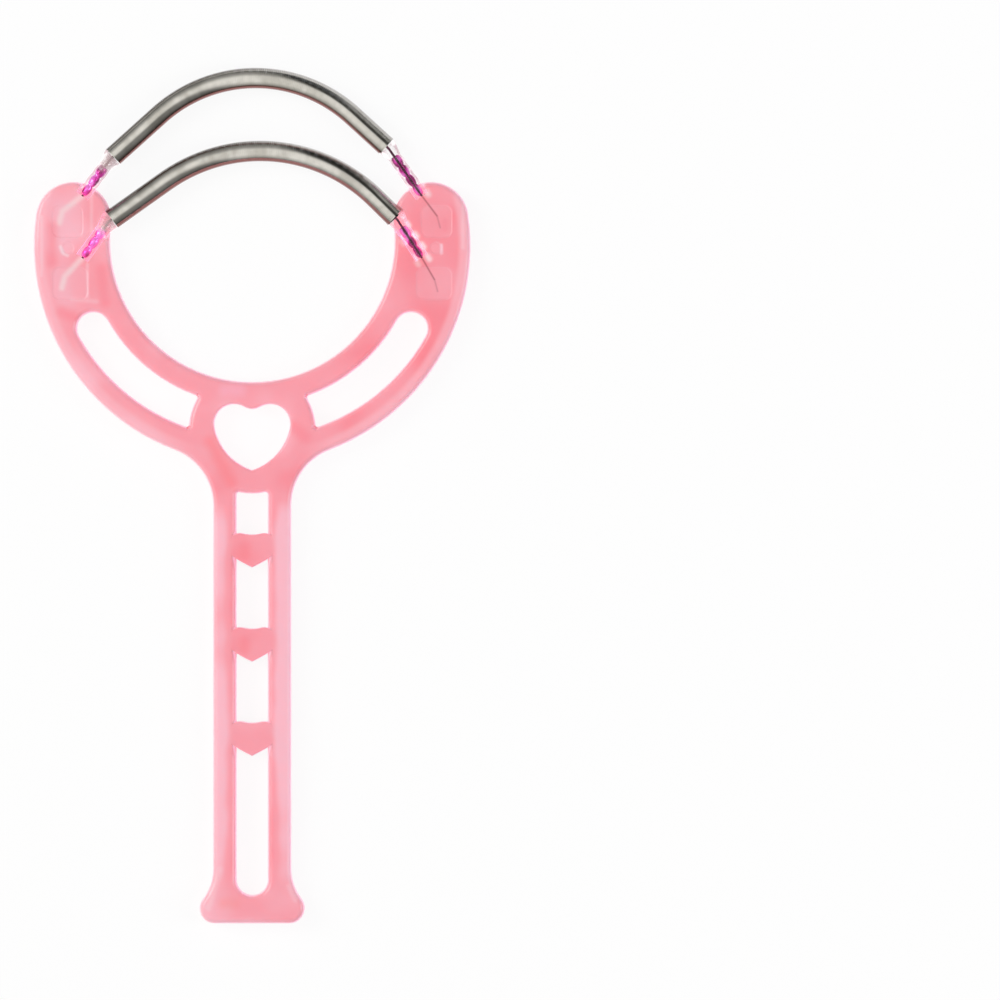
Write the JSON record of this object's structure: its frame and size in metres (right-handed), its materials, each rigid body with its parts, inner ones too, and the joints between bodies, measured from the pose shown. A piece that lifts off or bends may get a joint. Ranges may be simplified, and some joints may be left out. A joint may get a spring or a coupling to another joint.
{
  "type": "facial hair removal spring",
  "caption": "Y-shaped moulded hand tool whose ring-shaped fork holds bowed close-wound springs, with a heart window and a slim ladder handle.",
  "frame": {"origin": "middle of the overall box in X and Y, in the plane of the back face on which the tool lies", "axes": "+X across the fork, +Y from the handle's foot to the springs, +Z out of the front face"},
  "size_m": [0.0874, 0.1714, 0.0058],
  "materials": {
    "pink_plastic": "smooth, slightly translucent",
    "spring_steel": "bright drawn wire",
    "core_wire": "dark drawn wire",
    "magenta_metal": "bright metallic",
    "clear_sleeve": "clear, faintly pink"
  },
  "bodies": {
    "root": {"frame": "pink_plastic", "upper_spring": "spring_steel", "lower_spring": "spring_steel", "upper_core_wire": "core_wire", "lower_core_wire": "core_wire", "upper_left_ferrule": "magenta_metal", "upper_right_ferrule": "magenta_metal", "lower_left_ferrule": "magenta_metal", "lower_right_ferrule": "magenta_metal", "upper_left_sleeve": "clear_sleeve", "upper_right_sleeve": "clear_sleeve", "lower_left_sleeve": "clear_sleeve", "lower_right_sleeve": "clear_sleeve"}
  },
  "joints": []
}
